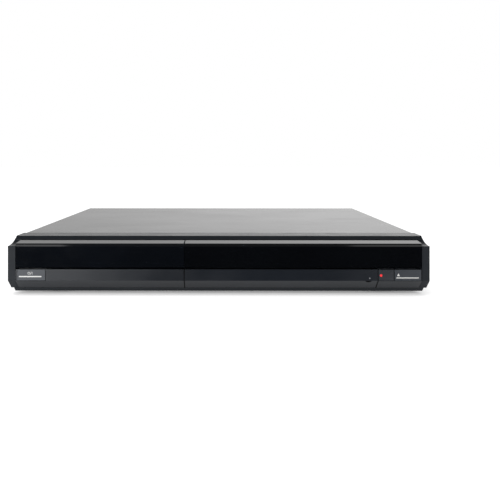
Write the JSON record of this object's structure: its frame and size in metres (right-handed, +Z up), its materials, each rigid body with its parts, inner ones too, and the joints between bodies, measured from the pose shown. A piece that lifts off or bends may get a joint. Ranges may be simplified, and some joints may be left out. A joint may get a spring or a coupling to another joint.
{
  "type": "dvd recorder",
  "caption": "Slim full-width disc recorder with a sliding disc tray behind a gloss bezel, a drop-down front flap over sockets, push buttons and rear connectors.",
  "frame": {"origin": "centre of the footprint, at the bottom of the feet", "axes": "+Z up, -Y out of the front face, +X to the right seen from the front"},
  "size_m": [0.43, 0.3364, 0.059],
  "materials": {
    "panel_satin": "satin moulded",
    "band_gloss": "high gloss",
    "window_gloss": "high gloss, smoked",
    "fascia_satin": "satin painted",
    "flap_satin": "satin painted",
    "power_button": "satin painted",
    "record_button": "satin painted",
    "open_close_button": "satin painted",
    "small_buttons": "satin moulded",
    "circuit_board": "solder mask",
    "switch_plastic": "moulded",
    "jack_front": "moulded with plated barrels",
    "jack_rear": "moulded with plated barrels",
    "black_plastic": "moulded",
    "socket_shell": "plated",
    "display_glass": "clear glass over a dark tube",
    "cover_paint": "fine textured black paint",
    "galvanised": "zinc plated",
    "foot_plastic": "moulded",
    "screw_steel": "black plated",
    "drive_plastic": "glass filled plastic",
    "tray_plastic": "satin moulded",
    "gear_plastic": "acetal",
    "motor_steel": "plated can",
    "belt_rubber": "plain",
    "frame_steel": "pressed steel",
    "rod_steel": "ground",
    "turntable_plastic": "moulded with a rubber ring",
    "sled_metal": "die cast",
    "lens_glass": "coated",
    "clamper_plastic": "moulded",
    "disk_metal": "cast",
    "heatsink": "extruded",
    "cable_grey": "ribbon",
    "transformer": "taped winding",
    "fan_plastic": "moulded"
  },
  "bodies": {
    "housing": {"front_panel": "panel_satin", "display_window": "window_gloss", "left_fascia": "fascia_satin", "right_fascia": "fascia_satin", "button_boards": "circuit_board", "tact_switches": "switch_plastic", "front_board": "circuit_board", "front_av_jacks": "jack_front", "s_video_socket": "black_plastic", "front_data_sockets": "socket_shell", "card_slot": "black_plastic", "display_module": "display_glass", "display_board": "circuit_board", "top_cover": "cover_paint", "bottom_chassis": "galvanised", "rear_panel": "galvanised", "feet": "foot_plastic", "cover_screws": "screw_steel", "drive_chassis": "drive_plastic", "drive_top_plate": "frame_steel", "loading_motor": "motor_steel", "loading_belt": "belt_rubber", "hard_disk": "disk_metal", "hard_disk_bracket": "galvanised", "main_board": "circuit_board", "digital_board": "circuit_board", "power_supply_board": "circuit_board", "chip_heatsink": "heatsink", "flat_cable": "cable_grey", "power_transformer": "transformer", "power_heatsink": "heatsink", "mains_inlet": "black_plastic", "fan_frame": "fan_plastic", "tuner": "socket_shell", "scart_sockets": "black_plastic", "rear_av_jacks": "jack_rear", "digital_outputs": "black_plastic"},
    "tray": {"disc_tray": "tray_plastic", "tray_bezel": "band_gloss"},
    "tray_drive_gear": {"tray_drive_gear": "gear_plastic"},
    "pulley_gear": {"pulley_gear": "gear_plastic"},
    "motor_pulley": {"motor_pulley": "gear_plastic"},
    "front_flap": {"front_flap": "flap_satin"},
    "power_button": {"power_button": "power_button"},
    "record_button": {"record_button": "record_button"},
    "open_close_button": {"open_close_button": "open_close_button"},
    "stop_button": {"stop_button": "small_buttons"},
    "play_button": {"play_button": "small_buttons"},
    "channel_down_button": {"channel_down_button": "small_buttons"},
    "channel_up_button": {"channel_up_button": "small_buttons"},
    "fan_rotor": {"fan_rotor": "fan_plastic"},
    "traverse": {"traverse_frame": "frame_steel", "spindle_motor": "motor_steel", "guide_rods": "rod_steel", "sled_motor": "motor_steel"},
    "turntable": {"turntable": "turntable_plastic"},
    "sled": {"pickup_sled": "sled_metal", "pickup_lens": "lens_glass"},
    "lead_screw": {"lead_screw": "rod_steel"},
    "clamper": {"clamper": "clamper_plastic"}
  },
  "joints": [
    {"name": "tray_slide", "type": "slide", "parent": "housing", "child": "tray", "axis": [0, -1, 0], "range_m": [0, 0.14]},
    {"name": "tray_drive_gear_spin", "type": "hinge", "parent": "housing", "child": "tray_drive_gear", "pos_m": [-0.1591, -0.13025, 0.029], "axis": [0, 0, 1], "range_deg": [-892.16, 0]},
    {"name": "pulley_gear_spin", "type": "hinge", "parent": "housing", "child": "pulley_gear", "pos_m": [-0.1817, -0.13025, 0.029], "axis": [0, 0, 1], "range_deg": [0, 1784.32]},
    {"name": "motor_pulley_spin", "type": "hinge", "parent": "housing", "child": "motor_pulley", "pos_m": [-0.1817, -0.09625, 0.03], "axis": [0, 0, 1], "range_deg": [0, 5464.47]},
    {"name": "flap_hinge", "type": "hinge", "parent": "housing", "child": "front_flap", "pos_m": [0.064, -0.16075, 0.0125], "axis": [1, 0, 0], "range_deg": [0, 90]},
    {"name": "power_button_press", "type": "slide", "parent": "housing", "child": "power_button", "axis": [0, 1, 0], "range_m": [0, 0.0005], "stiffness_N_per_m": 600},
    {"name": "record_button_press", "type": "slide", "parent": "housing", "child": "record_button", "axis": [0, 1, 0], "range_m": [0, 0.0005], "stiffness_N_per_m": 600},
    {"name": "open_close_button_press", "type": "slide", "parent": "housing", "child": "open_close_button", "axis": [0, 1, 0], "range_m": [0, 0.0005], "stiffness_N_per_m": 600},
    {"name": "stop_button_press", "type": "slide", "parent": "housing", "child": "stop_button", "axis": [0, 1, 0], "range_m": [0, 0.0005], "stiffness_N_per_m": 600},
    {"name": "play_button_press", "type": "slide", "parent": "housing", "child": "play_button", "axis": [0, 1, 0], "range_m": [0, 0.0005], "stiffness_N_per_m": 600},
    {"name": "channel_down_button_press", "type": "slide", "parent": "housing", "child": "channel_down_button", "axis": [0, 1, 0], "range_m": [0, 0.0005], "stiffness_N_per_m": 600},
    {"name": "channel_up_button_press", "type": "slide", "parent": "housing", "child": "channel_up_button", "axis": [0, 1, 0], "range_m": [0, 0.0005], "stiffness_N_per_m": 600},
    {"name": "fan_spin", "type": "hinge", "parent": "housing", "child": "fan_rotor", "pos_m": [-0.042, 0.15475, 0.031], "axis": [0, 1, 0], "continuous": true},
    {"name": "traverse_lift", "type": "hinge", "parent": "housing", "child": "traverse", "pos_m": [-0.1212, 0.02175, 0.02825], "axis": [-1, 0, 0], "range_deg": [0, 5.4]},
    {"name": "turntable_spin", "type": "hinge", "parent": "traverse", "child": "turntable", "pos_m": [-0.1212, -0.08987, 0.01895], "axis": [0, -0.0941, 0.9956], "continuous": true},
    {"name": "sled_slide", "type": "slide", "parent": "traverse", "child": "sled", "axis": [0, 0.9956, 0.0941], "range_m": [0, 0.034]},
    {"name": "lead_screw_spin", "type": "hinge", "parent": "traverse", "child": "lead_screw", "pos_m": [-0.0912, -0.09008, 0.02115], "axis": [0, 0.9956, 0.0941], "range_deg": [0, 4084.08]},
    {"name": "clamper_spin", "type": "hinge", "parent": "housing", "child": "clamper", "pos_m": [-0.1212, -0.09025, 0.045], "axis": [0, 0, 1], "continuous": true}
  ],
  "couplings": [
    {"joint": "tray_drive_gear_spin", "follows": "tray_slide", "rad_per_m": -111.11},
    {"joint": "pulley_gear_spin", "follows": "tray_slide", "rad_per_m": 222.22},
    {"joint": "motor_pulley_spin", "follows": "tray_slide", "rad_per_m": 680.56},
    {"joint": "lead_screw_spin", "follows": "sled_slide", "rad_per_m": 2094.4}
  ]
}
